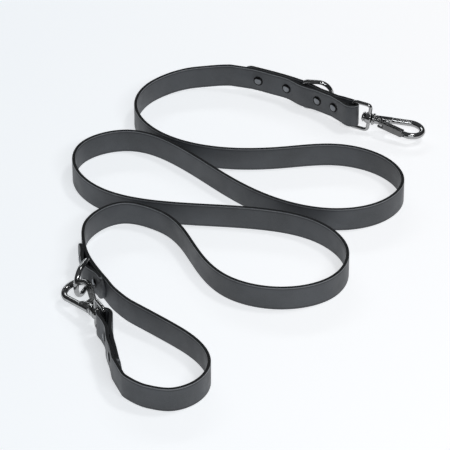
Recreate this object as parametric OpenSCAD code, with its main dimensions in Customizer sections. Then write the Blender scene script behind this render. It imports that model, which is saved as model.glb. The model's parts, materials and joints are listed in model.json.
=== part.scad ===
// Double-ended training leash: one long flat coated-webbing strap that stands on its edge in
// loose curves, with a swivel snap hook, a captured D-ring and rivets at each end.
// Millimetres, +Z up. The origin is on the floor under the middle of the whole leash.

/* [Strap] */
// Width of the strap, which stands upright
strap_w = 19; // [18.6:0.1:19.2]
// Thickness of the strap
strap_t = 2.5; // [2.2:0.1:2.6]
// Height that the hardware holds the strap's ends off the floor
strap_lift = 4; // [3.9:0.1:5]
// Corner trim along the strap's edges
strap_edge = 0.5; // [0.2:0.1:0.8]

/* [Rivets] */
// Diameter of a rivet's domed heads
rivet_head_d = 8; // [6:0.5:8.5]
// Height of a rivet's domed heads
rivet_head_h = 1.2; // [0.8:0.1:1.4]
// Diameter of a rivet's shank
rivet_shank_d = 3; // [2:0.5:3.5]

/* [D-rings] */
// Diameter of the D-rings' wire
ring_wire_d = 3.4; // [3:0.1:3.4]
// Clear height inside a D-ring
ring_inner_h = 19.6; // [19.4:0.1:19.8]
// Distance from the bar's centre to the bow's centre
ring_depth = 22.5; // [21.5:0.5:23]

/* [Swivel hooks] */
// Diameter of the swivel eye's wire
eye_wire_d = 3; // [2.6:0.1:3]
// Clear height inside the swivel eye
eye_inner_h = 19.8; // [19.6:0.1:19.9]
// Distance from the eye's bar to its base
eye_depth = 14.5; // [14:0.5:15]
// Diameter of the hook's round spine and nose
hook_d = 5; // [4.6:0.1:5.2]
// Radius of the nose's bend, to the middle of the metal
nose_r = 9.6; // [9.2:0.1:9.8]
// Distance from the eye's bar to the centre of the nose's bend
nose_x = 48.6; // [48:0.2:49]
// Radial running clearance of the swivel and of the gate's hinge
run_gap = 0.05; // [0.02:0.01:0.1]

/* [Hidden] */
$fn = 48;

strap_black = "#3c3c40";
gunmetal = "#54565a";
gate_grey = "#47484c";
spring_steel = "#9a9c9f";

// Height of the strap's middle, and of the hardware on it, for a share of the lift
function height_at(share) = strap_w / 2 + strap_lift * share;

// The strap's middle line, from the free end of the far tail to the free end of the near tail.
// Each point is [x, y, share of the lift].
far_tail = [[-5.4, 226.4, 1], [1.2, 223.6, 1], [8.6, 219.9, 1], [19.3, 214.3, 1], [31.9, 206.9, 1],
  [45.5, 197.3, 1], [57, 186.1, 1], [62.5, 181.1, 1.1], [67.6, 175.8, 1.2], [75.7, 170.4, 1.3]];
far_front = [[71.5, 165.8, 1.3], [65.6, 173.8, 1.2], [60.3, 178.9, 1.1], [55, 183.9, 1],
  [41.5, 192.7, 1], [30.1, 204.5, 1], [17.7, 211.7, 1], [7.4, 217.5, 1]];
free_run = [[-8, 224.2, 1], [-42, 226.5, 0.4], [-77, 208, 0], [-91, 170, 0], [-70, 124.5, 0],
  [-30, 103, 0], [25, 102, 0], [68, 106, 0], [104, 86, 0], [115.5, 52, 0], [96, 20.5, 0],
  [62, 11, 0], [24, 23, 0], [-22, 64, 0], [-58, 106, 0], [-95, 128, 0], [-130, 111, 0],
  [-136, 78, 0], [-112, 39, 0], [-65, 21, 0], [5, 12, 0], [46, -4, 0], [70, -45, 0],
  [58, -82, 0], [20, -97, 0], [-17, -83, 0], [-44, -36, 0], [-70, 8, 0.2], [-100, 16, 0.6],
  [-122.5, -10, 1], [-123.2, -47, 1], [-106.8, -90, 1], [-99.2, -103.8, 0.8],
  [-86.5, -118.5, 0.5], [-51.5, -149.5, 0], [-31, -192, 0], [-38, -212, 0], [-56, -224, 0],
  [-73, -222, 0.2], [-88, -212.5, 0.5]];
near_front = [[-96.2, -199, 1], [-100.1, -178.3, 1], [-102.9, -165.2, 1], [-104.1, -153.2, 1],
  [-106.8, -144.9, 1]];
near_tail = [[-101.2, -143.7, 1], [-101.3, -152.8, 1], [-99.7, -164.8, 1], [-97.3, -177.7, 1],
  [-94.2, -194.4, 1], [-92.7, -199.6, 1]];

// Where each swivel eye's bar stands, with its share of the lift, and the direction that its
// fold of strap points in
far_bar = [80.5, 161.9, 1.325];
far_fold_az = -20;
far_fold_dip = 0.12;
near_bar = [-106.2, -134.4, 1];
near_fold_az = 108;
near_fold_dip = 0;
fold_r = 4.45;
fold_half_turn = 80;
fold_steps = 6;

// How each hook lies: the direction of its axis, how far it droops and how far it is rolled
far_hook_az = -18.5;
far_hook_droop = 7.5;
far_hook_roll = 0;
near_hook_az = 116;
near_hook_droop = 2;
near_hook_roll = -17;

// Where each D-ring's bar stands, and the direction that its bow points in
far_ring_bar = [43.5, 195, 1];
far_ring_az = -8;
near_ring_bar = [-120.3, -68.3, 1];
near_ring_az = 250;

// Rivet centres between the strap's two layers, and the direction of each front cap
far_rivets = [[7.9, 218.4, 1], [31, 205.6, 1], [55.4, 185.6, 1], [68, 173.4, 1.2]];
far_rivet_az = [-114, -126, -131, -134];
tab_rivets = [[-123.8, -51.1, 1], [-112.6, -81.6, 1]];
tab_rivet_az = [192, 206];
handle_rivets = [[-102.7, -153, 1], [-98.7, -178, 1]];
handle_rivet_az = [187, 191];

// The keeper tab's middle line, along the strap's outer face and over the D-ring's bar
tab_route = [[-127.3, -38.3, 1], [-125.2, -51.4, 1], [-124.8, -61.5, 1], [-123.2, -69.5, 1],
  [-119.3, -75.9, 1], [-113.8, -82.2, 1], [-107.5, -94.8, 1]];

// Spacing of the strap's cross-sections along its length, and the most that it turns between two
section_step = 16;
section_turn = 10;

// ---- curves -------------------------------------------------------------------------------

function blend(a, b, t) = a + (b - a) * t;
function ease(t) = t * t * (3 - 2 * t);
function flat(p) = [p[0], p[1]];
function gap(p, q) = norm(flat(q) - flat(p));

// Direction of the smooth curve at point i
function heading(p, i) =
  let (n = len(p) - 1)
  i == 0 ? (flat(p[1]) - flat(p[0])) / gap(p[0], p[1])
  : i == n ? (flat(p[n]) - flat(p[n - 1])) / gap(p[n - 1], p[n])
  : let (a = gap(p[i - 1], p[i]), b = gap(p[i], p[i + 1]))
    ((flat(p[i]) - flat(p[i - 1])) * b / a + (flat(p[i + 1]) - flat(p[i])) * a / b) / (a + b);

// Point of the smooth curve between points i and i + 1
function curve(p, i, t) =
  let (d = gap(p[i], p[i + 1]), t2 = t * t, t3 = t2 * t)
  let (xy = (2 * t3 - 3 * t2 + 1) * flat(p[i]) + (t3 - 2 * t2 + t) * d * heading(p, i)
    + (3 * t2 - 2 * t3) * flat(p[i + 1]) + (t3 - t2) * d * heading(p, i + 1))
  [xy[0], xy[1], blend(p[i][2], p[i + 1][2], ease(t))];

// Angle that the curve turns through between points i and i + 1
function turn(p, i) =
  let (a = heading(p, i), b = heading(p, i + 1))
  acos(min(1, (a * b) / (norm(a) * norm(b))));
function steps_in(p, i, step) =
  max(1, round(gap(p[i], p[i + 1]) / step), round(turn(p, i) / section_turn));
function smooth_line(p, step) = concat(
  [for (i = [0 : len(p) - 2], k = [0 : steps_in(p, i, step) - 1])
    curve(p, i, k / steps_in(p, i, step))],
  [p[len(p) - 1]]);

// The strap's fold round a swivel eye's bar, which dips in the middle with a drooping hook
function fold_line(c, az, dip) = [for (k = [0 : fold_steps])
  let (a = fold_half_turn - 2 * fold_half_turn * k / fold_steps)
  [c[0] + fold_r * cos(az + a), c[1] + fold_r * sin(az + a), c[2] - dip * cos(a)]];

// Unit vector to the left of the line at point i
function side(p, i) =
  let (a = flat(p[max(i - 1, 0)]), b = flat(p[min(i + 1, len(p) - 1)]), d = (b - a) / norm(b - a))
  [-d[1], d[0]];

// Upright section of a band at point i, of half height h, with its corners trimmed
function band_section(p, i, h) =
  let (n = side(p, i), z = height_at(p[i][2]), t = strap_t / 2, e = strap_edge)
  [for (q = [[t, e - h], [t, h - e], [t - e, h], [e - t, h], [-t, h - e], [-t, e - h],
      [e - t, -h], [t - e, -h]])
    [p[i][0] + n[0] * q[0], p[i][1] + n[1] * q[0], z + q[1]]];

// Solid band that stands along a line, with the half heights given
module band(p, half) {
  count = len(p);
  rings = [for (i = [0 : count - 1]) each band_section(p, i, half[i])];
  walls = [for (i = [0 : count - 2], k = [0 : 7])
    let (a = 8 * i + k, b = 8 * i + (k + 1) % 8)
    each [[a, b, a + 8], [b, b + 8, a + 8]]];
  first = [for (k = [7 : -1 : 0]) k];
  last = [for (k = [0 : 7]) 8 * (count - 1) + k];
  polyhedron(rings, concat(walls, [first, last]));
}

// Half heights that round a band's ends off: reach is the length of the rounded part
function run_length(p, i) = i == 0 ? 0 : run_length(p, i - 1) + gap(p[i - 1], p[i]);
function rounded(s, reach) =
  s >= reach ? strap_w / 2
  : strap_w / 2 - reach + sqrt(max(0, reach * reach - (reach - s) * (reach - s)));

// ---- strap --------------------------------------------------------------------------------

strap_route = concat(far_tail, fold_line(far_bar, far_fold_az, far_fold_dip), far_front, free_run,
  near_front, fold_line(near_bar, near_fold_az, near_fold_dip), near_tail);
end_reach = 8;
end_steps = 5;

// A line with extra points close to both ends, where the band is rounded
function with_ends(p, step) =
  let (m = smooth_line(p, step), n = len(m) - 1)
  let (a = (flat(m[1]) - flat(m[0])) / gap(m[0], m[1]))
  let (b = (flat(m[n - 1]) - flat(m[n])) / gap(m[n - 1], m[n]))
  let (offsets = [for (k = [0 : end_steps]) end_reach * (1 - cos(90 * k / end_steps))])
  concat(
    [for (s = offsets) [m[0][0] + a[0] * s, m[0][1] + a[1] * s, m[0][2]]],
    [for (i = [1 : n - 1]) if (gap(m[0], m[i]) > end_reach + 1 && gap(m[n], m[i]) > end_reach + 1)
      m[i]],
    [for (k = [end_steps : -1 : 0])
      [m[n][0] + b[0] * offsets[k], m[n][1] + b[1] * offsets[k], m[n][2]]]);

function end_heights(p) =
  let (n = len(p) - 1)
  [for (i = [0 : n])
    i <= end_steps ? rounded(gap(p[0], p[i]), end_reach)
    : i >= n - end_steps ? rounded(gap(p[n], p[i]), end_reach)
    : strap_w / 2];

// A rivet's clearance hole, and the flat seats that its two heads press into the layers
module rivet_holes(places, az) {
  for (i = [0 : len(places) - 1])
    at_rivet(places[i], az[i]) {
      cylinder(d = rivet_shank_d + 0.2, h = 24, center = true);
      for (s = [0, 180])
        rotate([s, 0, 0])
          translate([0, 0, grip])
            cylinder(d = rivet_head_d + 0.2, h = 4);
    }
}

module leash_strap() {
  line = with_ends(strap_route, section_step);
  color(strap_black)
    difference() {
      band(line, end_heights(line));
      rivet_holes(far_rivets, far_rivet_az);
      rivet_holes(tab_rivets, tab_rivet_az);
      rivet_holes(handle_rivets, handle_rivet_az);
    }
}

tab_step = 4;

module keeper_tab() {
  line = with_ends(tab_route, tab_step);
  color(strap_black)
    difference() {
      band(line, end_heights(line));
      rivet_holes(tab_rivets, tab_rivet_az);
    }
}

// ---- rivets -------------------------------------------------------------------------------

// Puts +Z along the direction az, level with the strap's middle
module at_rivet(place, az) {
  translate([place[0], place[1], height_at(place[2])])
    rotate([0, 90, az])
      children();
}

// Half of the distance between a rivet's two heads, which clamp two layers of strap
grip = strap_t + 0.3;
socket_wall = 0.4;

// Domed head that rises from z = 0
module dome() {
  rise = rivet_head_h - socket_wall;
  ball_r = (rivet_head_d * rivet_head_d / 4 + rise * rise) / (2 * rise);
  cylinder(d = rivet_head_d, h = socket_wall);
  intersection() {
    translate([0, 0, socket_wall + rise - ball_r])
      sphere(r = ball_r, $fn = 96);
    translate([0, 0, socket_wall])
      cylinder(d = rivet_head_d, h = rise + 1);
  }
}

module rivet_post(place, az) {
  color(gunmetal)
    at_rivet(place, az) {
      translate([0, 0, -grip])
        rotate([180, 0, 0])
          dome();
      translate([0, 0, -grip])
        cylinder(d = rivet_shank_d, h = 2 * grip + socket_wall);
    }
}

module rivet_cap(place, az) {
  color(gunmetal)
    at_rivet(place, az)
      translate([0, 0, grip])
        difference() {
          dome();
          translate([0, 0, -1])
            cylinder(d = rivet_shank_d, h = 1 + socket_wall);
        }
}

// ---- D-rings ------------------------------------------------------------------------------

// Round rod from p to q
module rod(p, q, r) {
  v = q - p;
  translate(p)
    rotate([0, acos(v[2] / norm(v)), atan2(v[1], v[0])])
      cylinder(r = r, h = norm(v));
}

// Bend of round rod about c, in the XZ plane, from angle a over sweep degrees
module bend_xz(c, bend_r, r, a, sweep) {
  translate([c[0], 0, c[1]])
    rotate([90, 0, 0])
      rotate([0, 0, a])
        rotate_extrude(angle = sweep)
          translate([bend_r, 0])
            circle(r = r);
}

ring_corner = 2.5;

module d_ring(bar, az) {
  r = ring_wire_d / 2;
  half = ring_inner_h / 2 + r;
  bow_x = ring_depth - half;
  straight = half - ring_corner;
  color(gunmetal)
    translate([bar[0], bar[1], height_at(bar[2])])
      rotate([0, 0, az]) {
        rod([0, 0, -straight], [0, 0, straight], r);
        bend_xz([ring_corner, straight], ring_corner, r, 90, 90);
        bend_xz([ring_corner, -straight], ring_corner, r, 180, 90);
        rod([ring_corner, 0, half], [bow_x, 0, half], r);
        rod([ring_corner, 0, -half], [bow_x, 0, -half], r);
        bend_xz([bow_x, 0], half, r, -90, 180);
      }
}

// ---- swivel snap hooks --------------------------------------------------------------------
// A hook's own frame: X along its axis from the eye's bar to the tip, Z along the bar,
// Y towards the spine. The gate is on the other side.

module place_hook(bar, az, droop) {
  translate([bar[0], bar[1], height_at(bar[2])])
    rotate([0, droop, az])
      children();
}

eye_corner = 3;
boss_r = 4.4;
boss_from = 11.2;
boss_to = 16.8;
shaft_r = 2;
head_r = 4;
head_from = 8.6;
head_to = 10.9;
collar_from = 17.1;
collar_to = 19;
collar_r = 4.8;
socket_to = 22.6;

module swivel_eye() {
  r = eye_wire_d / 2;
  half = eye_inner_h / 2 + r;
  straight = half - eye_corner;
  color(gunmetal)
    difference() {
      union() {
        rod([0, 0, -straight], [0, 0, straight], r);
        for (s = [0, 180])
          rotate([s, 0, 0]) {
            bend_xz([eye_corner, straight], eye_corner, r, 90, 90);
            rod([eye_corner, 0, half], [eye_depth - eye_corner, 0, half], r);
            bend_xz([eye_depth - eye_corner, straight], eye_corner, r, 0, 90);
            rod([eye_depth, 0, straight], [eye_depth, 0, 2], r);
          }
        rotate([0, 90, 0])
          rotate_extrude()
            polygon([[0, boss_from], [boss_r - 1, boss_from], [boss_r, boss_from + 1],
              [boss_r, boss_to - 1], [boss_r - 1, boss_to], [0, boss_to]]);
      }
      rotate([0, 90, 0])
        translate([0, 0, boss_from - 1])
          cylinder(r = shaft_r + run_gap, h = boss_to - boss_from + 2);
    }
}

module swivel_post() {
  color(gunmetal)
    rotate([0, 90, 0]) {
      rotate_extrude()
        polygon([[0, head_from], [head_r - 1.4, head_from], [head_r - 0.4, head_from + 0.6],
          [head_r, head_from + 1.3], [head_r, head_to], [0, head_to]]);
      translate([0, 0, head_to])
        cylinder(r = shaft_r, h = socket_to - head_to);
    }
}

// The two arms of the hook lean away from its axis by this angle
arm_lean = 14.8;
arm_end_x = nose_x - nose_r * sin(arm_lean);
arm_end_y = nose_r * cos(arm_lean);
// Distance along the hook's axis of the gate's pin, and its offset
pin_x = 26;
pin_y = -(arm_end_y - (arm_end_x - pin_x) * tan(arm_lean));
pin_r = 0.9;
gate_half_w = 2.3;
gate_half_t = 2.7;
gate_front = 19.6;
gate_rear = 2.8;
gate_open_max = 20;
slot_half_t = 1.5;
tongue_half_t = 1.3;
gate_wall = 1.2;
latch_half_t = 0.9;
latch_len = 1.7;
tongue_r = 2;
// The straight spine is a hair slimmer than the bend, and runs this far into it
joint_step = 0.04;
joint_lap = 0.5;
// The nose stops short of the gate at this angle round its bend
nose_stop = 109;

// Puts X along the gate from its pin to its front, Y towards the inside of the hook
module gate_frame() {
  translate([pin_x, pin_y, 0])
    rotate([0, 0, -arm_lean])
      children();
}

module hook_body() {
  r = hook_d / 2;
  spine_root_x = 21;
  spine_root_y = arm_end_y - (arm_end_x - spine_root_x) * tan(arm_lean);
  color(gunmetal)
    difference() {
      union() {
        // collar and neck
        rotate([0, 90, 0])
          rotate_extrude()
            polygon([[0, collar_from], [collar_r - 0.5, collar_from], [collar_r, collar_from + 0.5],
              [collar_r, collar_to - 0.4], [collar_r - 0.6, collar_to], [3.3, collar_to + 0.7],
              [3.1, 22.4], [0, 24]]);
        // spine and nose
        rod([spine_root_x, spine_root_y, 0],
          [arm_end_x + joint_lap, arm_end_y + joint_lap * tan(arm_lean), 0], r - joint_step);
        translate([nose_x, 0, 0])
          rotate([0, 0, -nose_stop])
            rotate_extrude(angle = nose_stop + 90 + arm_lean)
              translate([nose_r, 0])
                circle(r = r);
        // web between the neck and the spine
        linear_extrude(height = 5, center = true)
          polygon([[19.4, -2.2], [22.6, -1.6], [31, 1.6], [32.4, 3.4], [31.6, 6.6], [19.4, 3.2]]);
        // tongue that the gate straddles, round its pin
        gate_frame()
          linear_extrude(height = 2 * tongue_half_t, center = true) {
            circle(r = tongue_r);
            polygon([[-6, -0.6], [-1.8, -0.6], [1.8, -0.4], [4.9, 0.8], [5.3, 1.5], [4.7, 3.4],
              [3.6, 6.7], [-5, 4]]);
          }
      }
      // swivel socket
      rotate([0, 90, 0])
        translate([0, 0, collar_from - 1])
          cylinder(r = shaft_r, h = socket_to - collar_from + 1);
      // hinge hole for the gate's pin
      translate([pin_x, pin_y, 0])
        cylinder(r = pin_r + run_gap, h = 8, center = true);
      // blind hole for the gate's spring
      gate_frame()
        translate([spring_x, spring_base, 0])
          rotate([-90, 0, 0])
            cylinder(r = spring_hole_r, h = spring_top - spring_base + 0.2);
      // slot in the nose that the gate's latch closes into
      gate_frame()
        translate([gate_front + 0.3, -r - 1, -latch_half_t - 0.2])
          cube([latch_len + 0.4, 2 * r + 3, 2 * latch_half_t + 0.4]);
    }
}

module gate() {
  color(gate_grey)
    gate_frame()
      difference() {
        union() {
          linear_extrude(height = 2 * gate_half_t, center = true)
            polygon([[-gate_rear, -1.6], [-gate_rear + 1.2, -gate_half_w],
              [gate_front - 0.8, -gate_half_w], [gate_front, -gate_half_w + 0.8],
              [gate_front, gate_half_w - 0.6], [gate_front - 0.6, gate_half_w],
              [-0.8, gate_half_w], [-gate_rear, gate_half_w - 1.4]]);
          // latch that closes into the nose
          translate([gate_front - 1, -gate_half_w + 0.5, -latch_half_t])
            cube([latch_len + 1, 2 * gate_half_w - 1.2, 2 * latch_half_t]);
        }
        // channel for the tongue, open at the rear and on the inside
        translate([-gate_rear - 1, -gate_half_w + gate_wall, -slot_half_t])
          cube([gate_rear + 1 + 8.2, 2 * gate_half_w, 2 * slot_half_t]);
        translate([-gate_rear - 1, -gate_half_w - 1, -slot_half_t])
          cube([gate_rear + 1 + tongue_r + 0.3, 3, 2 * slot_half_t]);
        cylinder(r = pin_r, h = 8, center = true);
      }
}

module gate_pin() {
  color(gunmetal)
    translate([pin_x, pin_y, 0])
      cylinder(r = pin_r, h = 2 * gate_half_t, center = true);
}

spring_x = 3.7;
spring_hole_r = 0.95;
spring_coil_r = 0.55;
spring_wire_r = 0.15;
spring_turns = 4;
spring_base = -gate_half_w + gate_wall;
spring_top = spring_base + 3.4;
spring_sides = 5;
spring_steps = 10;

// Coil spring between the gate's wall and the bottom of the blind hole in the tongue
module gate_spring() {
  count = spring_turns * spring_steps;
  rise = spring_top - spring_base - 2 * spring_wire_r - 0.04;
  ring = [for (i = [0 : count], k = [0 : spring_sides - 1])
    let (a = 360 * i / spring_steps, b = 360 * k / spring_sides)
    [(spring_coil_r + spring_wire_r * cos(b)) * cos(a),
      (spring_coil_r + spring_wire_r * cos(b)) * sin(a),
      spring_wire_r + 0.02 + rise * i / count + spring_wire_r * sin(b)]];
  walls = [for (i = [0 : count - 1], k = [0 : spring_sides - 1])
    let (m = spring_sides, a = m * i + k, b = m * i + (k + 1) % m)
    each [[a, a + m, b], [b, a + m, b + m]]];
  first = [for (k = [0 : spring_sides - 1]) k];
  last = [for (k = [spring_sides - 1 : -1 : 0]) spring_sides * count + k];
  color(spring_steel)
    gate_frame()
      translate([spring_x, spring_base, 0])
        rotate([-90, 0, 0])
          polyhedron(ring, concat(walls, [first, last]));
}

// ---- named pieces -------------------------------------------------------------------------

module far_place(roll = 0) {
  place_hook(far_bar, far_hook_az, far_hook_droop)
    rotate([roll, 0, 0])
      children();
}

module near_place(roll = 0) {
  place_hook(near_bar, near_hook_az, near_hook_droop)
    rotate([roll, 0, 0])
      children();
}

leash_strap();
keeper_tab();
d_ring(far_ring_bar, far_ring_az);  // far_d_ring
d_ring(near_ring_bar, near_ring_az);  // near_d_ring
rivet_post(far_rivets[0], far_rivet_az[0]);  // far_rivet_post_1
rivet_post(far_rivets[1], far_rivet_az[1]);  // far_rivet_post_2
rivet_post(far_rivets[2], far_rivet_az[2]);  // far_rivet_post_3
rivet_post(far_rivets[3], far_rivet_az[3]);  // far_rivet_post_4
rivet_cap(far_rivets[0], far_rivet_az[0]);  // far_rivet_cap_1
rivet_cap(far_rivets[1], far_rivet_az[1]);  // far_rivet_cap_2
rivet_cap(far_rivets[2], far_rivet_az[2]);  // far_rivet_cap_3
rivet_cap(far_rivets[3], far_rivet_az[3]);  // far_rivet_cap_4
rivet_post(tab_rivets[0], tab_rivet_az[0]);  // tab_rivet_post_1
rivet_post(tab_rivets[1], tab_rivet_az[1]);  // tab_rivet_post_2
rivet_cap(tab_rivets[0], tab_rivet_az[0]);  // tab_rivet_cap_1
rivet_cap(tab_rivets[1], tab_rivet_az[1]);  // tab_rivet_cap_2
rivet_post(handle_rivets[0], handle_rivet_az[0]);  // handle_rivet_post_1
rivet_post(handle_rivets[1], handle_rivet_az[1]);  // handle_rivet_post_2
rivet_cap(handle_rivets[0], handle_rivet_az[0]);  // handle_rivet_cap_1
rivet_cap(handle_rivets[1], handle_rivet_az[1]);  // handle_rivet_cap_2
far_place() swivel_eye();  // far_swivel_eye
far_place() swivel_post();  // far_swivel_post
far_place(far_hook_roll) hook_body();  // far_hook_body
far_place(far_hook_roll) gate();  // far_gate
far_place(far_hook_roll) gate_pin();  // far_gate_pin
far_place(far_hook_roll) gate_spring();  // far_gate_spring
near_place() swivel_eye();  // near_swivel_eye
near_place() swivel_post();  // near_swivel_post
near_place(near_hook_roll) hook_body();  // near_hook_body
near_place(near_hook_roll) gate();  // near_gate
near_place(near_hook_roll) gate_pin();  // near_gate_pin
near_place(near_hook_roll) gate_spring();  // near_gate_spring
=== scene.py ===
"""Looks of a double-ended training leash: a coated-webbing strap that stands on edge in loose
curves, with a riveted swivel snap hook and a D-ring at each end. Metres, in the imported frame."""

import json
import math

import bmesh
import bpy
import numpy as np
from mathutils import Matrix, Vector


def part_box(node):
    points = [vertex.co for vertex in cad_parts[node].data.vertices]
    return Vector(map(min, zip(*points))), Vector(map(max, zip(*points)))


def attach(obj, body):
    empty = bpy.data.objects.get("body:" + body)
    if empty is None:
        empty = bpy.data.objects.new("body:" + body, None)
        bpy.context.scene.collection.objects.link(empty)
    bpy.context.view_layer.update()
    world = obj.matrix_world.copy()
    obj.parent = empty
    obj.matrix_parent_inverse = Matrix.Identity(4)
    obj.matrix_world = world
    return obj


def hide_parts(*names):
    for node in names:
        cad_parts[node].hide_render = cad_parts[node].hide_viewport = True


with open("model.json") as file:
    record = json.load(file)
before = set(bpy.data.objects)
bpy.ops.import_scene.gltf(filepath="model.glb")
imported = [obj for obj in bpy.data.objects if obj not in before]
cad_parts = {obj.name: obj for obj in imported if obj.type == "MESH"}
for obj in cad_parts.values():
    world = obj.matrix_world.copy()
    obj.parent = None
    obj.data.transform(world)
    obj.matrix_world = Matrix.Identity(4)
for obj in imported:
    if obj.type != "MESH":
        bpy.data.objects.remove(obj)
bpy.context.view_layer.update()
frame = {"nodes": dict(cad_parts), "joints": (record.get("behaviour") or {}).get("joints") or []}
joints = {j["name"]: j for j in frame["joints"]}
MM = 0.001
scene = bpy.context.scene
scene.view_settings.view_transform = "Standard"

# ---- camera -------------------------------------------------------------------------------

AIM = Vector((-0.020, 0.018, 0.0))
CAMERA_ELEVATION = math.radians(32)
CAMERA_DISTANCE = 2.383
LENS_MM = 252

camera_data = bpy.data.cameras.new("camera")
camera_data.lens = LENS_MM
camera_data.sensor_width = 36
camera_data.clip_end = 30
camera = bpy.data.objects.new("camera", camera_data)
scene.collection.objects.link(camera)
camera.location = AIM + CAMERA_DISTANCE * Vector(
    (0, -math.cos(CAMERA_ELEVATION), math.sin(CAMERA_ELEVATION))
)
camera.rotation_euler = (math.pi / 2 - CAMERA_ELEVATION, 0, 0)
scene.camera = camera

# ---- sizes, as the frame has them ---------------------------------------------------------

STRAP_W = 19 * MM
STRAP_T = 2.5 * MM
STRAP_LIFT = 4 * MM
EDGE_R = 0.75 * MM
FOLD_R = 4.45 * MM
FOLD_HALF_TURN = math.radians(80)
FOLD_STEPS = 6
END_REACH = 8 * MM
END_STEPS = 9
SECTION_STEP = 1.5 * MM
# Rows of vertices across the strap's flat, as shares of its half height
FACE_ROWS = [0.85, 0.66, 0.5, 0.36, 0.22, 0.08, -0.08, -0.22, -0.36, -0.5, -0.66, -0.85]

# The strap's middle line, as [x, y, share of the lift], from the far tail to the near tail
FAR_TAIL = [
    (-0.0054, 0.2264, 1), (0.0012, 0.2236, 1), (0.0086, 0.2199, 1), (0.0193, 0.2143, 1),
    (0.0319, 0.2069, 1), (0.0455, 0.1973, 1), (0.057, 0.1861, 1), (0.0625, 0.1811, 1.1),
    (0.0676, 0.1758, 1.2), (0.0757, 0.1704, 1.3),
]
FAR_FRONT = [
    (0.0715, 0.1658, 1.3), (0.0656, 0.1738, 1.2), (0.0603, 0.1789, 1.1), (0.055, 0.1839, 1),
    (0.0415, 0.1927, 1), (0.0301, 0.2045, 1), (0.0177, 0.2117, 1), (0.0074, 0.2175, 1),
]
FREE_RUN = [
    (-0.008, 0.2242, 1), (-0.042, 0.2265, 0.4), (-0.077, 0.208, 0), (-0.091, 0.17, 0),
    (-0.07, 0.1245, 0), (-0.03, 0.103, 0), (0.025, 0.102, 0), (0.068, 0.106, 0),
    (0.104, 0.086, 0), (0.1155, 0.052, 0), (0.096, 0.0205, 0), (0.062, 0.011, 0),
    (0.024, 0.023, 0), (-0.022, 0.064, 0), (-0.058, 0.106, 0), (-0.095, 0.128, 0),
    (-0.13, 0.111, 0), (-0.136, 0.078, 0), (-0.112, 0.039, 0), (-0.065, 0.021, 0),
    (0.005, 0.012, 0), (0.046, -0.004, 0), (0.07, -0.045, 0), (0.058, -0.082, 0),
    (0.02, -0.097, 0), (-0.017, -0.083, 0), (-0.044, -0.036, 0), (-0.07, 0.008, 0.2),
    (-0.1, 0.016, 0.6), (-0.1225, -0.01, 1), (-0.1232, -0.047, 1), (-0.1068, -0.09, 1),
    (-0.0992, -0.1038, 0.8), (-0.0865, -0.1185, 0.5), (-0.0515, -0.1495, 0),
    (-0.031, -0.192, 0), (-0.038, -0.212, 0), (-0.056, -0.224, 0), (-0.073, -0.222, 0.2),
    (-0.088, -0.2125, 0.5),
]
NEAR_FRONT = [
    (-0.0962, -0.199, 1), (-0.1001, -0.1783, 1), (-0.1029, -0.1652, 1),
    (-0.1041, -0.1532, 1), (-0.1068, -0.1449, 1),
]
NEAR_TAIL = [
    (-0.1012, -0.1437, 1), (-0.1013, -0.1528, 1), (-0.0997, -0.1648, 1),
    (-0.0973, -0.1777, 1), (-0.0942, -0.1944, 1), (-0.0927, -0.1996, 1),
]
TAB_ROUTE = [
    (-0.1273, -0.0383, 1), (-0.1252, -0.0514, 1), (-0.1248, -0.0615, 1),
    (-0.1232, -0.0695, 1), (-0.1193, -0.0759, 1), (-0.1138, -0.0822, 1),
    (-0.1075, -0.0948, 1),
]
# Stretches that nothing is riveted to, as first and last point counted from FREE_RUN's start
EVEN_RUNS = [(1, 28), (32, 40)]
FAR_FOLD = {"azimuth": math.radians(-20), "dip": 0.12}
NEAR_FOLD = {"azimuth": math.radians(108), "dip": 0}


def joint_place(name):
    return Vector(joints[name]["pos_m"])


def joint_axis(name):
    return Vector(joints[name]["axis"]).normalized()


def lift_share(z):
    """The share of the lift that puts the strap's middle at height z."""
    return (z - STRAP_W / 2) / STRAP_LIFT


# ---- curves -------------------------------------------------------------------------------


def headings(points):
    """Unit-speed direction of the smooth curve at each point, from its neighbours' distances."""
    p = np.array(points)[:, :2]
    d = np.linalg.norm(np.diff(p, axis=0), axis=1)
    slope = np.diff(p, axis=0) / d[:, None]
    inner = (slope[:-1] * d[1:, None] + slope[1:] * d[:-1, None]) / (d[:-1] + d[1:])[:, None]
    return np.vstack([slope[:1], inner, slope[-1:]])


def even_out(points, m, first, last):
    """Changes the directions from first to last, so that the curve's bend has no jumps there."""
    p = np.array(points)[:, :2]
    d = np.linalg.norm(np.diff(p, axis=0), axis=1)
    count = last - first + 1
    left, right = np.zeros((count, count)), np.zeros((count, 2))
    for row, i in enumerate(range(first, last + 1)):
        left[row, row] = 2 / d[i - 1] + 2 / d[i]
        right[row] = 3 * (p[i] - p[i - 1]) / d[i - 1] ** 2 + 3 * (p[i + 1] - p[i]) / d[i] ** 2
        if row:
            left[row, row - 1] = 1 / d[i - 1]
        else:
            right[row] -= m[i - 1] / d[i - 1]
        if row < count - 1:
            left[row, row + 1] = 1 / d[i]
        else:
            right[row] -= m[i + 1] / d[i]
    m[first : last + 1] = np.linalg.solve(left, right)


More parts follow.
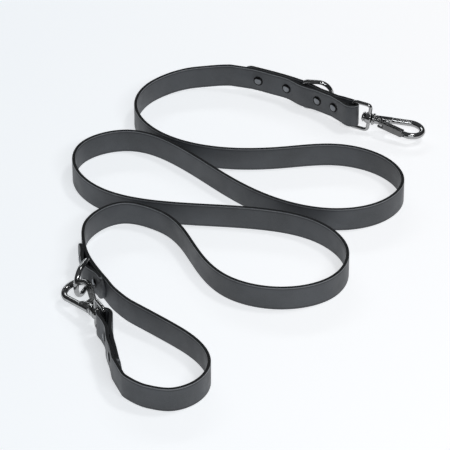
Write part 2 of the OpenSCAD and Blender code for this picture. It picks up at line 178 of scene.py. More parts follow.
def smooth_line(points, step, even=()):
    """Points about step apart on a curve through the route's points."""
    p = np.array(points)
    m = headings(points)
    for first, last in even:
        even_out(points, m, first, last)
    line = []
    for i in range(len(p) - 1):
        d = np.linalg.norm(p[i + 1, :2] - p[i, :2])
        count = max(1, round(d / step))
        for k in range(count):
            t = k / count
            xy = (
                (2 * t**3 - 3 * t**2 + 1) * p[i, :2]
                + (t**3 - 2 * t**2 + t) * d * m[i]
                + (3 * t**2 - 2 * t**3) * p[i + 1, :2]
                + (t**3 - t**2) * d * m[i + 1]
            )
            share = p[i, 2] + (p[i + 1, 2] - p[i, 2]) * t * t * (3 - 2 * t)
            line.append((xy[0], xy[1], share))
    line.append(tuple(p[-1]))
    return np.array(line)


def fold_line(bar, azimuth, dip):
    """The strap's bend round a swivel eye's bar."""
    line = []
    for k in range(FOLD_STEPS + 1):
        a = FOLD_HALF_TURN * (1 - 2 * k / FOLD_STEPS)
        line.append(
            (
                bar.x + FOLD_R * math.cos(azimuth + a),
                bar.y + FOLD_R * math.sin(azimuth + a),
                lift_share(bar.z) - dip * math.cos(a),
            )
        )
    return line


def with_round_ends(line):
    """The line with sections close together at both ends, and the half height of each section."""
    offsets = [
        END_REACH * (1 - math.cos(math.pi / 2 * k / END_STEPS)) for k in range(END_STEPS + 1)
    ]

    def end(a, b):
        u = (b[:2] - a[:2]) / np.linalg.norm(b[:2] - a[:2])
        return [(*(a[:2] + u * s), a[2]) for s in offsets]

    reach = END_REACH + SECTION_STEP / 2
    middle = [
        p
        for p in line[1:-1]
        if np.linalg.norm(p[:2] - line[0][:2]) > reach
        and np.linalg.norm(p[:2] - line[-1][:2]) > reach
    ]
    first, last = end(line[0], line[1]), end(line[-1], line[-2])
    half = [
        STRAP_W / 2 - END_REACH + math.sqrt(max(0, END_REACH**2 - (END_REACH - s) ** 2))
        for s in offsets
    ]
    points = np.array(first + [tuple(p) for p in middle] + last[::-1])
    return points, half + [STRAP_W / 2] * len(middle) + half[::-1]


# ---- meshes -------------------------------------------------------------------------------


def make_piece(name, verts, faces, smooth=True):
    mesh = bpy.data.meshes.new(name)
    mesh.from_pydata([tuple(v) for v in verts], [], faces)
    mesh.validate()
    mesh.update()
    work = bmesh.new()
    work.from_mesh(mesh)
    bmesh.ops.recalc_face_normals(work, faces=work.faces)
    work.to_mesh(mesh)
    work.free()
    if smooth:
        mesh.shade_smooth()
    piece = bpy.data.objects.new(name, mesh)
    scene.collection.objects.link(piece)
    return piece


def sweep_faces(rings, around, closed):
    """Quads between rings of vertices, with end caps unless the sweep is closed."""
    faces = []
    for i in range(rings if closed else rings - 1):
        a, b = i * around, (i + 1) % rings * around
        faces += [
            (a + k, a + (k + 1) % around, b + (k + 1) % around, b + k) for k in range(around)
        ]
    if not closed:
        faces.append(tuple(range(around))[::-1])
        faces.append(tuple((rings - 1) * around + k for k in range(around)))
    return faces


def band_profile(half):
    """Round-edged section of the strap, as (offset along its normal, height, share of width)."""
    t = STRAP_T / 2
    flat = half - EDGE_R
    corner = [math.radians(a) for a in (0, 22, 45, 68, 90)]
    upper = [(t - EDGE_R + EDGE_R * math.cos(a), flat + EDGE_R * math.sin(a)) for a in corner]
    upper += [(-x, z) for x, z in upper[::-1]]
    lower = [(x, -z) for x, z in upper[::-1]]
    far_face = [(-t, flat * share) for share in FACE_ROWS]
    near_face = [(t, -flat * share) for share in FACE_ROWS]
    return upper + far_face + lower + near_face


def band(name, line, halves):
    """Strap-like solid along a line, with how far along and across it each vertex is."""
    p = line[:, :2]
    ahead = np.vstack([p[1:], p[-1:]]) - np.vstack([p[:1], p[:-1]])
    ahead /= np.linalg.norm(ahead, axis=1)[:, None]
    lengths = np.concatenate([[0], np.cumsum(np.linalg.norm(np.diff(p, axis=0), axis=1))])
    verts, along, across = [], [], []
    for i, half in enumerate(halves):
        nx, ny = -ahead[i, 1], ahead[i, 0]
        z = STRAP_W / 2 + STRAP_LIFT * line[i, 2]
        for x, h in band_profile(half):
            verts.append((p[i, 0] + nx * x, p[i, 1] + ny * x, z + h))
            along.append(lengths[i])
            across.append(h)
    around = len(band_profile(STRAP_W / 2))
    piece = make_piece(name, verts, sweep_faces(len(halves), around, False))
    for label, values in (("along", along), ("across", across)):
        layer = piece.data.attributes.new(label, "FLOAT", "POINT")
        layer.data.foreach_set("value", values)
    return piece


def tube(path, radii, closed=False, around=24, widths=None):
    """Round or oval rod along a path in the XZ or XY plane; widths are across that plane."""
    path = [Vector(q) for q in path]
    count = len(path)
    verts = []
    normal = Vector((0, 1, 0)) if all(abs(q.y) < 1e-9 for q in path) else Vector((0, 0, 1))
    for i, q in enumerate(path):
        before = path[i - 1] if closed or i else q
        after = path[(i + 1) % count] if closed or i < count - 1 else q
        ahead = (after - before).normalized()
        side = ahead.cross(normal).normalized()
        r = radii[i] if isinstance(radii, (list, tuple)) else radii
        w = widths[i] if widths else r
        for k in range(around):
            a = 2 * math.pi * k / around
            verts.append(q + side * (r * math.cos(a)) + normal * (w * math.sin(a)))
    return verts, sweep_faces(count, around, closed)


def lathe(profile, around=48):
    """Solid turned about X from (distance along X, radius) pairs that start and end on the axis."""
    verts, faces = [Vector((profile[0][0], 0, 0))], []
    for x, r in profile[1:-1]:
        for k in range(around):
            a = 2 * math.pi * k / around
            verts.append(Vector((x, r * math.cos(a), r * math.sin(a))))
    verts.append(Vector((profile[-1][0], 0, 0)))
    rings = len(profile) - 2
    faces += [(0, 1 + (k + 1) % around, 1 + k) for k in range(around)]
    for i in range(rings - 1):
        a, b = 1 + i * around, 1 + (i + 1) * around
        faces += [
            (a + k, a + (k + 1) % around, b + (k + 1) % around, b + k) for k in range(around)
        ]
    last, a = len(verts) - 1, 1 + (rings - 1) * around
    faces += [(last, a + k, a + (k + 1) % around) for k in range(around)]
    return verts, faces


def prism(outline, low, high):
    """Solid between two heights over an outline in the XY plane."""
    count = len(outline)
    verts = [Vector((x, y, low)) for x, y in outline] + [Vector((x, y, high)) for x, y in outline]
    faces = [tuple(range(count))[::-1], tuple(range(count, 2 * count))]
    faces += [(k, (k + 1) % count, count + (k + 1) % count, count + k) for k in range(count)]
    return verts, faces


def moved(solid, matrix):
    verts, faces = solid
    return [matrix @ v for v in verts], faces


def remove(piece):
    mesh = piece.data
    bpy.data.objects.remove(piece)
    bpy.data.meshes.remove(mesh)


def apply_modifiers(piece):
    depsgraph = bpy.context.evaluated_depsgraph_get()
    mesh = bpy.data.meshes.new_from_object(piece.evaluated_get(depsgraph))
    old = piece.data
    piece.modifiers.clear()
    piece.data = mesh
    bpy.data.meshes.remove(old)


def cast(name, solids, cuts, voxel, smoothing):
    """One casting: the solids fused, the cuts taken out, and the edges softened."""
    pieces = [make_piece(f"{name}_{i}", *s) for i, s in enumerate(solids)]
    tools = [make_piece(f"{name}_cut_{i}", *s) for i, s in enumerate(cuts)]
    body = pieces[0]
    for kind, others in (("UNION", pieces[1:]), ("DIFFERENCE", tools)):
        for other in others:
            step = body.modifiers.new("join", "BOOLEAN")
            step.operation = kind
            step.solver = "EXACT"
            step.object = other
    apply_modifiers(body)
    for other in pieces[1:] + tools:
        remove(other)
    remesh = body.modifiers.new("remesh", "REMESH")
    remesh.mode = "VOXEL"
    remesh.voxel_size = voxel
    soften = body.modifiers.new("soften", "SMOOTH")
    soften.factor = 0.5
    soften.iterations = smoothing
    apply_modifiers(body)
    body.data.shade_smooth()
    body.name = name
    return body


def arc(centre, radius, start, sweep, count):
    """Points on an arc in the XY plane, angles in degrees."""
    return [
        (
            centre[0] + radius * math.cos(math.radians(start + sweep * k / count)),
            centre[1] + radius * math.sin(math.radians(start + sweep * k / count)),
            0,
        )
        for k in range(count + 1)
    ]


def stand(path):
    """A path in the XY plane stood up into the XZ plane."""
    return [(x, 0, y) for x, y, _ in path]


def place(piece, matrix):
    piece.data.transform(matrix)
    piece.data.update()
    return piece


def frame_matrix(origin, x_axis, z_axis):
    y_axis = z_axis.cross(x_axis)
    matrix = Matrix((x_axis, y_axis, z_axis)).transposed().to_4x4()
    matrix.translation = origin
    return matrix


# ---- the strap ----------------------------------------------------------------------------

far_bar = joint_place("far_eye_tip")
near_bar = joint_place("near_eye_tip")
route = (
    FAR_TAIL
    + fold_line(far_bar, **FAR_FOLD)
    + FAR_FRONT
    + FREE_RUN
    + NEAR_FRONT
    + fold_line(near_bar, **NEAR_FOLD)
    + NEAR_TAIL
)
run_start = route.index(FREE_RUN[0])
strap_line, strap_halves = with_round_ends(
    smooth_line(route, SECTION_STEP, [(run_start + a, run_start + b) for a, b in EVEN_RUNS])
)
strap = band("strap", strap_line, strap_halves)
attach(strap, "strap")
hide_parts("leash_strap")

tab_line, tab_halves = with_round_ends(smooth_line(TAB_ROUTE, SECTION_STEP / 2))
tab = band("tab", tab_line, tab_halves)
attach(tab, "strap")
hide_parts("keeper_tab")

# ---- rivets -------------------------------------------------------------------------------

RIVET_R = 4 * MM
RIVET_H = 1.2 * MM
RIVET_GRIP = 2.8 * MM
RIVET_RIM = 0.35 * MM
RIVET_GROOVE = 0.3 * MM
SHANK_R = 1.5 * MM
SHANK_LAP = 0.1 * MM
# The strap is level out to PRESS_FULL from a rivet's axis, less and less so out to PRESS_REACH.
# What is further than PRESS_DEEPEST along the axis is left alone.
PRESS_REACH = 6.5 * MM
PRESS_FULL = RIVET_R + 0.2 * MM
PRESS_DEEPEST = 4.2 * MM
PRESS_GAP = 0.02 * MM
# The direction that each rivet's cap faces, in degrees, as the CAD has it
RIVET_AZIMUTHS = {
    "far_rivet": (-114, -126, -131, -134),
    "tab_rivet": (192, 206),
    "handle_rivet": (187, 191),
}


def head_profile(start):
    """Domed head that rises along X from start, inside a rolled rim."""
    rows = [(0, 0), (0, RIVET_R - RIVET_RIM / 2)]
    for a in map(math.radians, range(-60, 181, 40)):
        rim_x, rim_r = 0.6 * RIVET_RIM * (1 + math.sin(a)), RIVET_RIM * (math.cos(a) - 1)
        rows.append((rim_x, RIVET_R + rim_r))
    dome_r = RIVET_R - 2.2 * RIVET_RIM
    for a in map(math.radians, range(0, 90, 9)):
        dome_x = (RIVET_H - RIVET_GROOVE) * math.sin(a)
        rows.append((RIVET_GROOVE + dome_x, dome_r * math.cos(a)))
    rows.append((RIVET_H, 0))
    return [(start + x, r) for x, r in rows]


def rivet_frame(cap_name, azimuth):
    """A rivet's own frame, with X towards its cap, measured on the cap that the frame holds."""
    facing = Vector((math.cos(math.radians(azimuth)), math.sin(math.radians(azimuth)), 0))
    up = Vector((0, 0, 1))
    side = up.cross(facing)
    node = frame["nodes"][cap_name]
    points = [node.matrix_world @ v.co for v in node.data.vertices]

    def middle(direction):
        reach = [direction.dot(p) for p in points]
        return (min(reach) + max(reach)) / 2

    base = min(facing.dot(p) for p in points) - RIVET_GRIP
    return frame_matrix(facing * base + side * middle(side) + up * middle(up), facing, up)


def rivet(name, matrix):
    """The two parts of one rivet, with how far each vertex is from its axis."""
    group, number = name.rsplit("_", 1)
    outer = make_piece(f"{name}_outer_head", *lathe(head_profile(RIVET_GRIP)))
    low, high = -RIVET_GRIP - SHANK_LAP, RIVET_GRIP - SHANK_LAP
    shank_verts, shank_faces = lathe([(low, 0), (low, SHANK_R), (high, SHANK_R), (high, 0)])
    mirror = Matrix.Scale(-1, 4, (1, 0, 0))
    verts, faces = moved(lathe(head_profile(RIVET_GRIP)), mirror)
    faces = faces + [tuple(i + len(verts) for i in f) for f in shank_faces]
    inner = make_piece(f"{name}_inner_head", verts + shank_verts, faces)
    for piece, part in ((outer, "cap"), (inner, "post")):
        rim = piece.data.attributes.new("rim", "FLOAT", "POINT")
        rim.data.foreach_set("value", [math.hypot(v.co.y, v.co.z) for v in piece.data.vertices])
        place(piece, matrix)
        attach(piece, "strap")
        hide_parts(f"{group}_{part}_{number}")
    return [outer, inner]


def press_flat(piece, matrix):
    """Levels a band's outer face under a rivet's two heads, where riveting squeezes it."""
    inside = matrix.inverted()
    for v in piece.data.vertices:
        t, side, up = inside @ v.co
        off = math.hypot(side, up)
        if PRESS_REACH < off or not RIVET_GRIP / 2 < abs(t) < PRESS_DEEPEST:
            continue
        share = min(1, (PRESS_REACH - off) / (PRESS_REACH - PRESS_FULL))
        share *= share * (3 - 2 * share)
        level = math.copysign(RIVET_GRIP - PRESS_GAP, t)
        v.co = matrix @ Vector((t + (level - t) * share, side, up))
    piece.data.update()


rivets = []
for group, azimuths in RIVET_AZIMUTHS.items():
    for number, azimuth in enumerate(azimuths, 1):
        matrix = rivet_frame(f"{group}_cap_{number}", azimuth)
        rivets += rivet(f"{group}_{number}", matrix)
        for piece in (strap, tab):
            press_flat(piece, matrix)

# ---- D-rings ------------------------------------------------------------------------------

RING_R = 1.7 * MM
RING_HALF = 11.5 * MM
RING_CORNER = 2.5 * MM
RING_DEPTH = 22.5 * MM
WELD_SWELL = 0.05
WELD_REACH = 1.2 * MM
BOW_SWELL = 0.2


def d_ring(name, node_name, body, joint):
    bar = joint_place(joint)
    low, high = (Vector(c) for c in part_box(node_name))
    reach = (low + high) / 2 - bar
    bow_x = RING_DEPTH - RING_HALF
    straight = RING_HALF - RING_CORNER
    path = [(0, -straight + 2 * straight * k / 16, 0) for k in range(16)]
    path += arc((RING_CORNER, straight), RING_CORNER, 180, -90, 8)
    path += arc((bow_x, 0), RING_HALF, 90, -180, 48)
    path += arc((RING_CORNER, -straight), RING_CORNER, -90, -90, 8)[:-1]
    # The weld in the middle of the bar
    radii = [RING_R] * len(path)
    for k in range(16):
        radii[k] *= 1 + WELD_SWELL * math.exp(-((path[k][1] / WELD_REACH) ** 2))
    # The cast bow is a little wider than the wire of the bar
    widths = [r * (1 + BOW_SWELL * min(1, max(0, q[0] / RING_HALF))) for r, q in zip(radii, path)]
    piece = make_piece(name, *tube(stand(path), radii, closed=True, around=32, widths=widths))
    heading = Vector((reach.x, reach.y, 0)).normalized()
    place(piece, frame_matrix(bar, heading, Vector((0, 0, 1))))
    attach(piece, body)
    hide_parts(node_name)
    return piece


rings = [
    d_ring("ring_far", "far_d_ring", "far_ring", "far_ring_swing"),
    d_ring("ring_near", "near_d_ring", "near_ring", "near_ring_swing"),
]

# ---- swivel snap hooks --------------------------------------------------------------------
# A hook's own frame: X along its axis from the eye's bar, Z along the bar, Y to the spine.

EYE_R = 1.5 * MM
EYE_HALF = 11.4 * MM
EYE_CORNER = 3 * MM
EYE_DEPTH = 14.5 * MM
# Turned outlines, as (distance along the axis, radius) in millimetres
BOSS_PROFILE = [
    (11.2, 0), (11.2, 3.2), (11.7, 4), (12.3, 4.4), (15.7, 4.4), (16.4, 4), (16.8, 3.2),
    (16.8, 0),
]
BORE_PROFILE = [(10, 0), (10, 2.06), (18, 2.06), (18, 0)]
POST_PROFILE = [
    (8.5, 0), (8.5, 1.2), (8.65, 2.1), (9, 2.9), (9.5, 3.6), (10.1, 4), (10.7, 4), (10.9, 3.8),
    (10.9, 2.0), (17.4, 2.0), (17.4, 0),
]
NECK_PROFILE = [
    (17.1, 0), (17.1, 4.2), (17.3, 4.6), (17.6, 4.8), (18.5, 4.8), (18.9, 4.6), (19.1, 4.1),
    (19.7, 3.3), (22.4, 3.1), (24, 0),
]
# Flat outlines, in millimetres: the web in the hook's frame, the tongue in the gate's
WEB_OUTLINE = [(19.4, -2.2), (22.6, -1.6), (31, 1.6), (32.4, 3.4), (31.6, 6.6), (19.4, 3.2)]
TONGUE_OUTLINE = [
    (-6, -0.6), (-1.8, -0.6), (1.8, -0.4), (4.9, 0.8), (5.3, 1.5), (4.7, 3.4), (3.6, 6.7),
    (-5, 4),
]
HOOK_R = 2.5 * MM
NOSE_R = 9.6 * MM
NOSE_X = 48.6 * MM
NOSE_STOP = 109
ARM_LEAN = 14.8
PIN_X = 26 * MM
SPINE_ROOT_X = 21 * MM
GATE_FRONT = 19.6 * MM
GATE_REAR = 2.8 * MM
GATE_HALF_W = 2.3 * MM
GATE_HALF_T = 2.7 * MM
TONGUE_R = 2 * MM
TONGUE_HALF_T = 1.3 * MM
WEB_HALF_T = 2.5 * MM
SLOT_HALF_T = 1.1 * MM
LATCH_HALF_T = 0.9 * MM
# How far from the pin the gate's channel for the tongue reaches
CHANNEL_END = 8.2 * MM
CHANNEL_HALF_T = 1.5 * MM
# How finely each casting is remeshed
EYE_VOXEL = 0.2 * MM
HOOK_VOXEL = 0.22 * MM
GATE_VOXEL = 0.16 * MM
arm_end = Vector(
    (
        NOSE_X - NOSE_R * math.sin(math.radians(ARM_LEAN)),
        NOSE_R * math.cos(math.radians(ARM_LEAN)),
        0,
    )
)
arm_slope = math.tan(math.radians(ARM_LEAN))
gate_matrix = Matrix.Translation(
    (PIN_X, -(arm_end.y - (arm_end.x - PIN_X) * arm_slope), 0)
) @ Matrix.Rotation(math.radians(-ARM_LEAN), 4, "Z")


def in_mm(rows):
    return [tuple(v * MM for v in row) for row in rows]


def rectangle(left, right, low, high):
    """The corners of a rectangle, in turn."""
    return [(left, low), (right, low), (right, high), (left, high)]


def make_eye(name):
    straight = EYE_HALF - EYE_CORNER
    path = [(0, -straight + 2 * straight * k / 12, 0) for k in range(12)]
    path += arc((EYE_CORNER, straight), EYE_CORNER, 180, -90, 8)
    path += arc((EYE_DEPTH - EYE_CORNER, straight), EYE_CORNER, 90, -90, 8)
    path += arc((EYE_DEPTH - EYE_CORNER, -straight), EYE_CORNER, 0, -90, 8)
    path += arc((EYE_CORNER, -straight), EYE_CORNER, -90, -90, 8)[:-1]
    bail = tube(stand(path), EYE_R, closed=True)
    boss, bore = lathe(in_mm(BOSS_PROFILE)), lathe(in_mm(BORE_PROFILE))
    return cast(name, [bail, boss], [bore], EYE_VOXEL, 6)


def make_hook(name):
    root_y = arm_end.y - (arm_end.x - SPINE_ROOT_X) * arm_slope
    path = [
        (
            SPINE_ROOT_X + (arm_end.x - SPINE_ROOT_X) * k / 24,
            root_y + (arm_end.y - root_y) * k / 24,
            0,
        )
        for k in range(24)
    ]
    path += arc((NOSE_X, 0), NOSE_R, 90 + ARM_LEAN, -(90 + ARM_LEAN + NOSE_STOP), 64)
    wire = tube(path, HOOK_R, around=28)
    web = prism(in_mm(WEB_OUTLINE), -WEB_HALF_T, WEB_HALF_T)
    turn = np.linspace(0, 2 * math.pi, 33)[:-1]
    disc = [(TONGUE_R * math.cos(a), TONGUE_R * math.sin(a)) for a in turn]
    tongue_disc = prism(disc, -TONGUE_HALF_T, TONGUE_HALF_T)
    tongue = prism(in_mm(TONGUE_OUTLINE), -TONGUE_HALF_T, TONGUE_HALF_T)
    slot = prism(
        rectangle(GATE_FRONT + 0.3 * MM, GATE_FRONT + 2.4 * MM, -3.5 * MM, 4.5 * MM),
        -SLOT_HALF_T,
        SLOT_HALF_T,
    )
    solids = [
        wire,
        lathe(in_mm(NECK_PROFILE)),
        web,
        moved(tongue_disc, gate_matrix),
        moved(tongue, gate_matrix),
    ]
    return cast(name, solids, [moved(slot, gate_matrix)], HOOK_VOXEL, 5)


def make_gate(name):
    body = prism(
        [
            (-GATE_REAR, -1.6 * MM),
            (-GATE_REAR + 1.2 * MM, -GATE_HALF_W),
            (GATE_FRONT - 0.8 * MM, -GATE_HALF_W),
            (GATE_FRONT, -GATE_HALF_W + 0.8 * MM),
            (GATE_FRONT, GATE_HALF_W - 0.6 * MM),
            (GATE_FRONT - 0.6 * MM, GATE_HALF_W),
            (-0.8 * MM, GATE_HALF_W),
            (-GATE_REAR, GATE_HALF_W - 1.4 * MM),
        ],
        -GATE_HALF_T,
        GATE_HALF_T,
    )
    latch = prism(
        rectangle(GATE_FRONT - MM, GATE_FRONT + 1.7 * MM, -1.8 * MM, 1.6 * MM),
        -LATCH_HALF_T,
        LATCH_HALF_T,
    )
    channel = prism(
        rectangle(-4 * MM, CHANNEL_END, -1.1 * MM, 4 * MM), -CHANNEL_HALF_T, CHANNEL_HALF_T
    )
    mouth = prism(rectangle(-4 * MM, 2.3 * MM, -4 * MM, 0), -CHANNEL_HALF_T, CHANNEL_HALF_T)
    return cast(name, [body, latch], [channel, mouth], GATE_VOXEL, 5)


def place_hook(end):
    """The pieces of the hook at one end, each on its own body."""
    bar = joint_place(f"{end}_eye_tip")
    axis = joint_axis(f"{end}_hook_swivel")
    level = frame_matrix(bar, axis, joint_axis(f"{end}_eye_tip"))
    rolled = frame_matrix(bar, axis, joint_axis(f"{end}_gate_open"))
    eye = place(make_eye(f"eye_{end}"), level)
    post = place(make_piece(f"post_{end}", *lathe(in_mm(POST_PROFILE))), level)
    hook = place(make_hook(f"hook_{end}"), rolled)
    gate = place(make_gate(f"latch_{end}"), rolled @ gate_matrix)
    table = [
        (eye, f"{end}_eye", f"{end}_swivel_eye", "gunmetal"),
        (post, f"{end}_hook", f"{end}_swivel_post", "gunmetal"),
        (hook, f"{end}_hook", f"{end}_hook_body", "gunmetal"),
        (gate, f"{end}_gate", f"{end}_gate", "gate_metal"),
    ]
    for piece, body, node_name, slot_name in table:
        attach(piece, body)
        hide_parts(node_name)
    return [eye, post, hook], gate


castings, gates = [], []
for end in ("far", "near"):
    metal, gate = place_hook(end)
    castings += metal
    gates.append(gate)

# ---- materials ----------------------------------------------------------------------------


class Nodes:
    """A material's node tree, written as calls."""

    def __init__(self, name):
        self.material = bpy.data.materials.new(name)
        self.material.use_nodes = True
        self.tree = self.material.node_tree
        self.shader = self.tree.nodes["Principled BSDF"]

    def add(self, kind, settings=None, **inputs):
        made = self.tree.nodes.new(kind)
        for key, value in (settings or {}).items():
            setattr(made, key, value)
        for key, value in inputs.items():
            self.put(made, key.replace("_", " "), value)
        return made

    def put(self, target, socket, value):
        if isinstance(value, bpy.types.NodeSocket):
            self.tree.links.new(value, target.inputs[socket])
        else:
            target.inputs[socket].default_value = value

    def math(self, operation, a, b=0.0):
        made = self.tree.nodes.new("ShaderNodeMath")
        made.operation = operation
        for i, value in enumerate((a, b)):
            if isinstance(value, bpy.types.NodeSocket):
                self.tree.links.new(value, made.inputs[i])
            else:
                made.inputs[i].default_value = value
        return made.outputs[0]

    def noise(self, where, scale, detail=3, rough=0.55):
        made = self.add("ShaderNodeTexNoise", Scale=scale, Detail=detail, Roughness=rough)
        self.tree.links.new(where, made.inputs["Vector"])
        return made.outputs["Fac"]

    def span(self, value, low, high, to_low=0.0, to_high=1.0):
        made = self.add("ShaderNodeMapRange")
        self.put(made, "Value", value)
        for socket, number in (
            ("From Min", low), ("From Max", high), ("To Min", to_low), ("To Max", to_high),
        ):
            made.inputs[socket].default_value = number
        return made.outputs["Result"]

    def mix(self, share, a, b):
        made = self.tree.nodes.new("ShaderNodeMix")
        made.data_type = "RGBA"
        for socket, value in ((0, share), (6, a), (7, b)):
            if isinstance(value, bpy.types.NodeSocket):
                self.tree.links.new(value, made.inputs[socket])
            else:
                made.inputs[socket].default_value = value
        return made.outputs[2]

    def bump(self, height, distance, strength=1.0, over=None):
        made = self.add("ShaderNodeBump", Strength=strength, Distance=distance)
        self.tree.links.new(height, made.inputs["Height"])
        if over is not None:
            self.tree.links.new(over, made.inputs["Normal"])
        return made.outputs["Normal"]


def grey(value, blue=0.0):
    return (value, value * (1 + blue * 0.4), value * (1 + blue), 1)


def webbing_material():
    """Black coated webbing: satin, weave showing; painted highlight on rubbed edges, painted shade
    on creases and cut edges.
    """
    n = Nodes("coated_webbing")
    place_at = n.add("ShaderNodeTexCoord").outputs["Object"]
    along = n.add("ShaderNodeAttribute", {"attribute_name": "along"}).outputs["Fac"]
    across = n.add("ShaderNodeAttribute", {"attribute_name": "across"}).outputs["Fac"]
    from_middle = n.math("ABSOLUTE", across)
    flow = n.add("ShaderNodeCombineXYZ")
    n.put(flow, "X", along)
    n.put(flow, "Y", across)
    blotch = n.noise(place_at, 26, 3)
    grain = n.noise(place_at, 1500, 3, 0.6)
    dust = n.noise(place_at, 620, 4, 0.7)
    # Rubbed corners, broken up by noise, with a painted highlight that is stronger at the top edge
    # than at the bottom; the fine crease that the coating leaves inside them carries painted shade
    corner = n.math(
        "MULTIPLY",
        n.span(from_middle, 8.45 * MM, 8.65 * MM),
        n.span(from_middle, 9.1 * MM, 9.25 * MM, 1, 0),
    )
    wear_and_top_light = n.math("MULTIPLY", n.span(dust, 0.32, 0.6, 0.5, 1), n.span(across, -9 * MM, 0, 0.2, 1))
    rub_and_highlight = n.math("MULTIPLY", corner, wear_and_top_light)
    # Painted shade: the cut edges at the top and bottom go near black
    cut_edge_shade = n.span(from_middle, 9.1 * MM, 9.3 * MM)
    crease_with_shade = n.math(
        "MULTIPLY",
        n.span(from_middle, 7.3 * MM, 7.8 * MM),
        n.span(from_middle, 8.1 * MM, 8.6 * MM, 1, 0),
    )
    tone = n.mix(n.span(blotch, 0.35, 0.65), grey(0.060, 0.14), grey(0.083, 0.18))
    tone = n.mix(n.math("MULTIPLY", n.span(grain, 0.35, 0.7), 0.3), tone, grey(0.125, 0.13))
    # Painted shade: the crease under each corner darkened
    tone = n.mix(n.math("MULTIPLY", crease_with_shade, 0.5), tone, grey(0.018, 0.05))
    # Painted highlight: the rubbed corners lighter, most of all along the top edge
    tone = n.mix(n.math("MULTIPLY", rub_and_highlight, 0.7), tone, grey(0.30, 0.10))
    # Painted shade along the cut edges
    tone = n.mix(n.math("MULTIPLY", cut_edge_shade, 0.85), tone, grey(0.012, 0.05))
    speck = n.span(n.noise(place_at, 1300, 2), 0.72, 0.78)
    tone = n.mix(n.math("MULTIPLY", speck, 0.25), tone, grey(0.16, 0.02))
    n.put(n.shader, "Base Color", tone)
    rough = n.span(n.noise(place_at, 90, 3), 0.3, 0.7, 0.42, 0.56)
    rough = n.math("SUBTRACT", rough, n.math("MULTIPLY", rub_and_highlight, 0.08))
    n.put(n.shader, "Roughness", n.math("ADD", rough, n.math("MULTIPLY", cut_edge_shade, 0.4)))
    n.put(n.shader, "Specular IOR Level", 0.4)
    # The weave under the coat: threads along the strap, crossed by finer picks
    threads = n.math("SINE", n.math("MULTIPLY", across, 2 * math.pi / (0.95 * MM)))
    picks = n.math("SINE", n.math("MULTIPLY", along, 2 * math.pi / (1.3 * MM)))
    weave = n.math("MULTIPLY", threads, picks)
    face = n.span(from_middle, 7.0 * MM, 7.6 * MM, 1, 0)
    surface = n.bump(n.math("MULTIPLY", weave, face), 0.014 * MM)
    surface = n.bump(grain, 0.035 * MM, over=surface)
    surface = n.bump(n.math("SUBTRACT", 1.0, crease_with_shade), 0.12 * MM, over=surface)
    surface = n.bump(n.noise(flow.outputs[0], 150, 2), 0.15 * MM, 0.6, over=surface)
    n.put(n.shader, "Normal", surface)
    return n.material


def metal_material(name, dark, light, rough_low, rough_high, scratch, rim_shade=None):
    """Plated or painted metal with faint clouding, fine scratches and a little casting texture.
    With a rim shade, painted shade darkens it towards the edge of a rivet's head."""
    n = Nodes(name)
    place_at = n.add("ShaderNodeTexCoord").outputs["Object"]
    cloud = n.noise(place_at, 240, 3)
    fine = n.noise(place_at, 2600, 3, 0.6)
    stretch = n.add("ShaderNodeMapping", Scale=(1, 0.12, 0.35))
    n.put(stretch, "Vector", place_at)
    scratches = n.noise(stretch.outputs[0], 5200, 2, 0.4)
    tone = n.mix(n.span(cloud, 0.3, 0.7), dark, light)
    if rim_shade:
        out = n.add("ShaderNodeAttribute", {"attribute_name": "rim"}).outputs["Fac"]
        # Painted shade: near black towards the rim of a rivet's head
        tone = n.mix(n.span(out, 2.5 * MM, 3.1 * MM), tone, rim_shade)
    n.put(n.shader, "Base Color", tone)
    n.put(n.shader, "Metallic", 1.0)
    rough = n.span(cloud, 0.3, 0.7, rough_low, rough_high)
    rough = n.math("ADD", rough, n.math("MULTIPLY", n.span(scratches, 0.6, 0.8), 0.06))
    n.put(n.shader, "Roughness", rough)
    surface = n.bump(fine, scratch)
    surface = n.bump(n.noise(place_at, 420, 2), 0.02 * MM, 0.5, over=surface)
    n.put(n.shader, "Normal", surface)
    return n.material


def paint_over(piece, material):
    piece.data.materials.clear()
    piece.data.materials.append(material)


webbing = webbing_material()
gunmetal = metal_material("gunmetal", grey(0.30), grey(0.40), 0.08, 0.16, 0.004 * MM)
# Rivet heads carry painted shade towards their rims
rivet_metal = metal_material(
    "rivet_metal", grey(0.14, 0.12), grey(0.2, 0.12), 0.1, 0.2, 0.006 * MM, rim_shade=grey(0.015)
)
gate_metal = metal_material("gate_metal", grey(0.13), grey(0.18), 0.2, 0.32, 0.012 * MM)
spring_steel = metal_material("spring_steel", grey(0.45), grey(0.55), 0.2, 0.3, 0.003 * MM)

for piece in (strap, tab):
    paint_over(piece, webbing)
for piece in rings + castings:
    paint_over(piece, gunmetal)
for piece in rivets:
    paint_over(piece, rivet_metal)
for piece in gates:
    paint_over(piece, gate_metal)
for end in ("far", "near"):
    pin, spring = frame["nodes"][f"{end}_gate_pin"], frame["nodes"][f"{end}_gate_spring"]
    paint_over(pin, gunmetal)
    paint_over(spring, spring_steel)

# ---- floor and light ----------------------------------------------------------------------


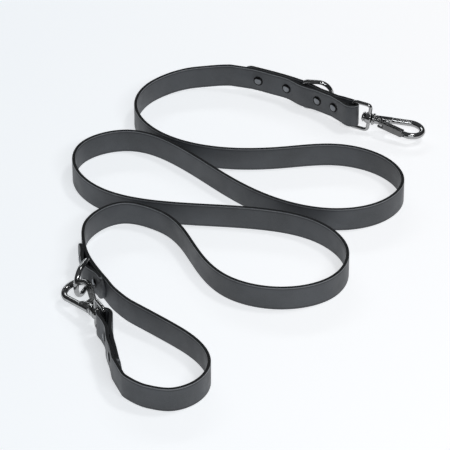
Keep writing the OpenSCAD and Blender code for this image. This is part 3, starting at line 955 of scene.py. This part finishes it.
def floor_material():
    """Pale matte sweep, lit a little from within so that shadows on it stay faint, with painted
    shading that makes it darker and bluer towards -X.
    """
    n = Nodes("floor")
    place_at = n.add("ShaderNodeTexCoord").outputs["Object"]
    split = n.add("ShaderNodeSeparateXYZ")
    n.put(split, "Vector", place_at)
    # Painted shading: the floor darker and bluer towards -X, broken up by noise
    painted_falloff = n.math("ADD", split.outputs["X"], n.math("MULTIPLY", n.noise(place_at, 2.2, 2), 0.2))
    pale = n.mix(n.span(painted_falloff, -0.1, 0.4), (0.782, 0.807, 0.832, 1), (0.86, 0.853, 0.858, 1))
    n.put(n.shader, "Base Color", pale)
    n.put(n.shader, "Roughness", 0.6)
    n.put(n.shader, "Specular IOR Level", 0.2)
    n.put(n.shader, "Emission Color", pale)
    n.put(n.shader, "Emission Strength", FLOOR_GLOW)
    return n.material


FLOOR_SIZE = 6
FLOOR_GLOW = 0.76
floor = make_piece(
    "floor",
    [(x * FLOOR_SIZE, y * FLOOR_SIZE, 0) for x, y in ((-1, -1), (1, -1), (1, 1), (-1, 1))],
    [(0, 1, 2, 3)],
    smooth=False,
)
paint_over(floor, floor_material())


def softbox(name, place_at, size, power, colour=(1, 1, 1)):
    data = bpy.data.lights.new(name, "AREA")
    data.shape = "RECTANGLE"
    data.size, data.size_y = size
    data.energy = power
    data.color = colour
    light = bpy.data.objects.new(name, data)
    scene.collection.objects.link(light)
    light.location = place_at
    light.rotation_euler = (-Vector(place_at)).to_track_quat("-Z", "Y").to_euler()
    return light


COOL_WHITE = (0.95, 0.98, 1)
softbox("key", (0.75, 0.35, 1.9), (0.4, 0.3), 5.5)
softbox("back", (-0.4, 1.9, 1.1), (1.6, 0.22), 5, COOL_WHITE)
softbox("front", (0.5, -1.5, 1.2), (1.2, 0.2), 10, COOL_WHITE)

# The sky's strength, level with the floor and from SKY_TOP_Z upward
SKY_LOW = 0.015
SKY_HIGH = 0.11
SKY_TOP_Z = 0.9
SKY_COLOUR = (0.93, 0.97, 1.0, 1)

world = bpy.data.worlds.new("world")
world.use_nodes = True
tree = world.node_tree
sky = tree.nodes["Background"]
toward = tree.nodes.new("ShaderNodeTexCoord")
split = tree.nodes.new("ShaderNodeSeparateXYZ")
rise = tree.nodes.new("ShaderNodeMapRange")
tree.links.new(toward.outputs["Generated"], split.inputs[0])
tree.links.new(split.outputs["Z"], rise.inputs["Value"])
rise.inputs["From Max"].default_value = SKY_TOP_Z
rise.inputs["To Min"].default_value = SKY_LOW
rise.inputs["To Max"].default_value = SKY_HIGH
tree.links.new(rise.outputs["Result"], sky.inputs["Strength"])
sky.inputs["Color"].default_value = SKY_COLOUR
scene.world = world
